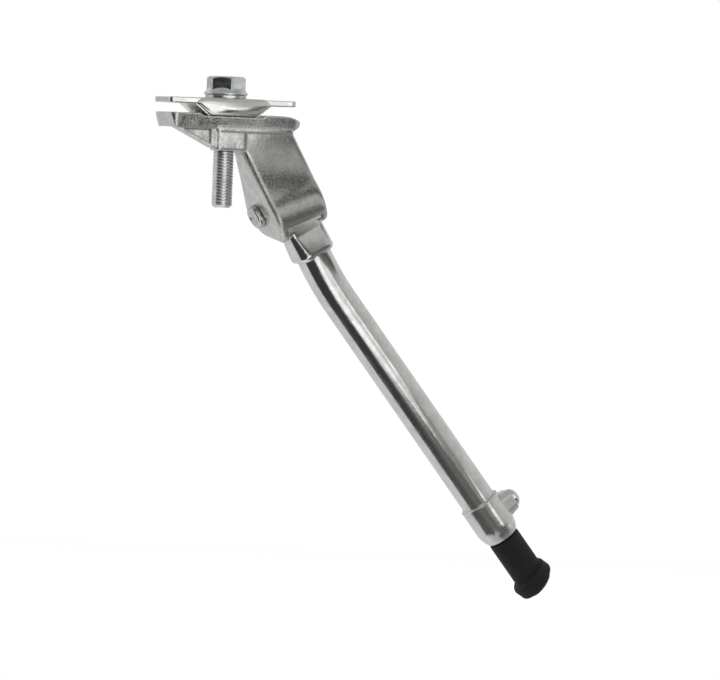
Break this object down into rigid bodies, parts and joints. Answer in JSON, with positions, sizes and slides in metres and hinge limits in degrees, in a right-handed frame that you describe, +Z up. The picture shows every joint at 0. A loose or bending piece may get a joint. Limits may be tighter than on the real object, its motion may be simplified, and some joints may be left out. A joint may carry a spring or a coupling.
{
  "type": "bicycle kickstand",
  "caption": "Folding bicycle kickstand: cast bracket with a bolted plate that clamps the chainstays, and a bent telescopic leg with a rubber foot that swings on a rivet.",
  "frame": {"origin": "on the clamp bolt's axis, in the bracket's clamping face", "axes": "+Z up the clamp bolt, +X to the side that the leg leans to, +Y towards the rear wheel"},
  "size_m": [0.2164, 0.0351, 0.2497],
  "materials": {
    "bracket_casting": "die cast, lightly polished",
    "rivet_steel": "plain steel",
    "plate_plating": "bright plated",
    "bolt_zinc": "zinc plated",
    "leg_casting": "polished",
    "screw_chrome": "bright plated",
    "rod_alloy": "drawn, satin",
    "foot_rubber": "matte moulded"
  },
  "bodies": {
    "bracket": {"bracket": "bracket_casting", "pivot_rivet": "rivet_steel"},
    "clamp_plate": {"clamp_plate": "plate_plating", "bolt_washer": "bolt_zinc"},
    "clamp_bolt": {"clamp_bolt": "bolt_zinc"},
    "leg": {"leg": "leg_casting", "detent_spring": "rivet_steel"},
    "detent_plunger": {"detent_plunger": "rivet_steel"},
    "clamp_screw": {"clamp_screw": "screw_chrome"},
    "inner_leg": {"inner_leg": "rod_alloy", "rubber_foot": "foot_rubber"}
  },
  "joints": [
    {"name": "leg_fold", "type": "hinge", "parent": "bracket", "child": "leg", "pos_m": [0.0362, 0.0095, -0.0419], "axis": [0.866, 0, 0.5], "range_deg": [0, 95]},
    {"name": "plunger_travel", "type": "slide", "parent": "leg", "child": "detent_plunger", "axis": [0.5, 0, -0.866], "range_m": [0, 0.002], "stiffness_N_per_m": 8000, "springref_m": -0.004, "deforming": ["detent_spring"]},
    {"name": "leg_extend", "type": "slide", "parent": "leg", "child": "inner_leg", "axis": [0.6347, 0, -0.7727], "range_m": [0, 0.045]},
    {"name": "screw_turn", "type": "hinge", "parent": "leg", "child": "clamp_screw", "pos_m": [0.15004, 0.0015, -0.19171], "axis": [0.7727, 0, 0.6347], "range_deg": [0, 720]},
    {"name": "plate_lift", "type": "slide", "parent": "bracket", "child": "clamp_plate", "axis": [0, 0, 1], "range_m": [0, 0.018]},
    {"name": "bolt_turn", "type": "hinge", "parent": "clamp_plate", "child": "clamp_bolt", "pos_m": [0, 0, 0], "axis": [0, 0, 1], "range_deg": [0, 4325]}
  ],
  "couplings": [
    {"joint": "bolt_turn", "follows": "plate_lift", "rad_per_m": 4188.8}
  ]
}
